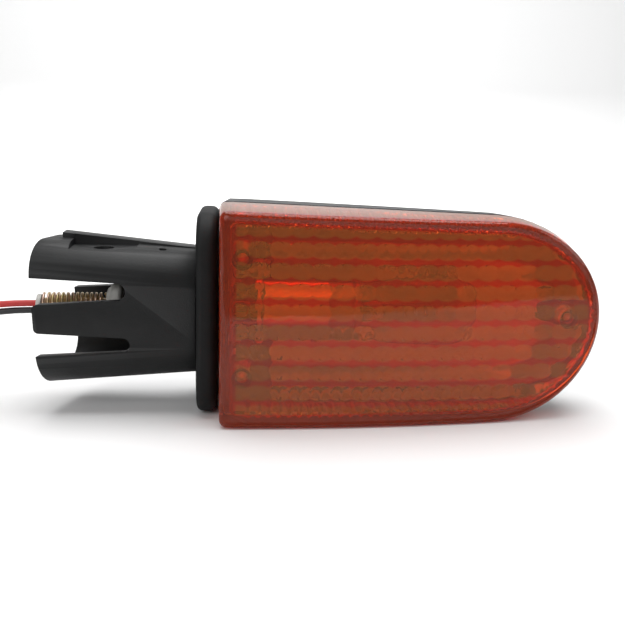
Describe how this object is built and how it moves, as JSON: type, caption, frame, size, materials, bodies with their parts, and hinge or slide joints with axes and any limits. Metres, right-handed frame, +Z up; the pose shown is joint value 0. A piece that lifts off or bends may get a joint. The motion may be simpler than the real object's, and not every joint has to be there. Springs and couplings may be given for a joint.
{
  "type": "turn signal indicator",
  "caption": "Amber turn signal lamp with a rounded outboard end, on a short hollow slotted stalk with a spring-loaded clamping seat and two leads.",
  "frame": {"origin": "middle of the footprint of the lamp and stalk, on the lamp's long lower side", "axes": "+X to the lamp's round outboard end, -Y out of the lens, +Z up"},
  "size_m": [0.2239, 0.0518, 0.0549],
  "materials": {
    "amber_lens": "clear amber moulding, polished outside",
    "black_plastic": "fine moulded grain",
    "black_rubber": "matt",
    "silvered_plastic": "vacuum metallised",
    "zinc_plated_steel": "yellow zinc plating",
    "cast_zinc": "as cast, satin",
    "nickelled_brass": "bright plated",
    "phenolic_board": "matt",
    "clear_glass": "clear",
    "tungsten_wire": "drawn",
    "red_sheath": "satin",
    "black_sheath": "satin"
  },
  "bodies": {
    "lamp": {"lens": "amber_lens", "lens_gasket": "black_rubber", "rear_housing": "black_plastic", "reflector": "silvered_plastic", "lens_screw_1": "zinc_plated_steel", "lens_screw_2": "zinc_plated_steel", "lens_screw_3": "zinc_plated_steel", "stalk_screw_upper": "zinc_plated_steel", "stalk_screw_lower": "zinc_plated_steel", "mounting_pad": "black_rubber", "stalk": "black_plastic", "guide_tube": "zinc_plated_steel", "end_collar": "zinc_plated_steel", "retaining_spring": "zinc_plated_steel", "lead_grommet": "black_rubber", "socket_bracket": "zinc_plated_steel", "bracket_screw_upper": "zinc_plated_steel", "bracket_screw_lower": "zinc_plated_steel", "socket_shell": "zinc_plated_steel", "socket_insulator": "phenolic_board", "live_terminal": "nickelled_brass", "earth_terminal": "nickelled_brass", "contact_spring": "zinc_plated_steel", "red_lead_inner": "red_sheath", "black_lead_inner": "black_sheath", "red_lead": "red_sheath", "black_lead": "black_sheath", "red_lead_coil": "red_sheath", "black_lead_coil": "black_sheath", "red_lead_tail": "red_sheath", "black_lead_tail": "black_sheath", "red_sleeve": "red_sheath", "black_sleeve": "black_sheath", "red_bullet": "nickelled_brass", "black_bullet": "nickelled_brass", "coil_tie": "black_plastic"},
    "seat": {"spring_seat": "cast_zinc"},
    "contact": {"contact_plunger": "nickelled_brass"},
    "bulb": {"bulb_base": "nickelled_brass", "bulb_contact": "cast_zinc", "bulb_glass": "clear_glass", "bulb_stem": "clear_glass", "bulb_filament": "tungsten_wire"}
  },
  "joints": [
    {"name": "seat_slide", "type": "slide", "parent": "lamp", "child": "seat", "axis": [-1, 0, 0], "range_m": [0, 0.007], "stiffness_N_per_m": 3000, "deforming": ["retaining_spring"]},
    {"name": "contact_push", "type": "slide", "parent": "lamp", "child": "contact", "axis": [-1, 0, 0], "range_m": [0, 0.0018], "stiffness_N_per_m": 2500, "deforming": ["contact_spring"]},
    {"name": "bulb_twist", "type": "hinge", "parent": "contact", "child": "bulb", "pos_m": [-0.00605, -0.00065, 0.0275], "axis": [-1, 0, 0], "range_deg": [0, 22]}
  ]
}
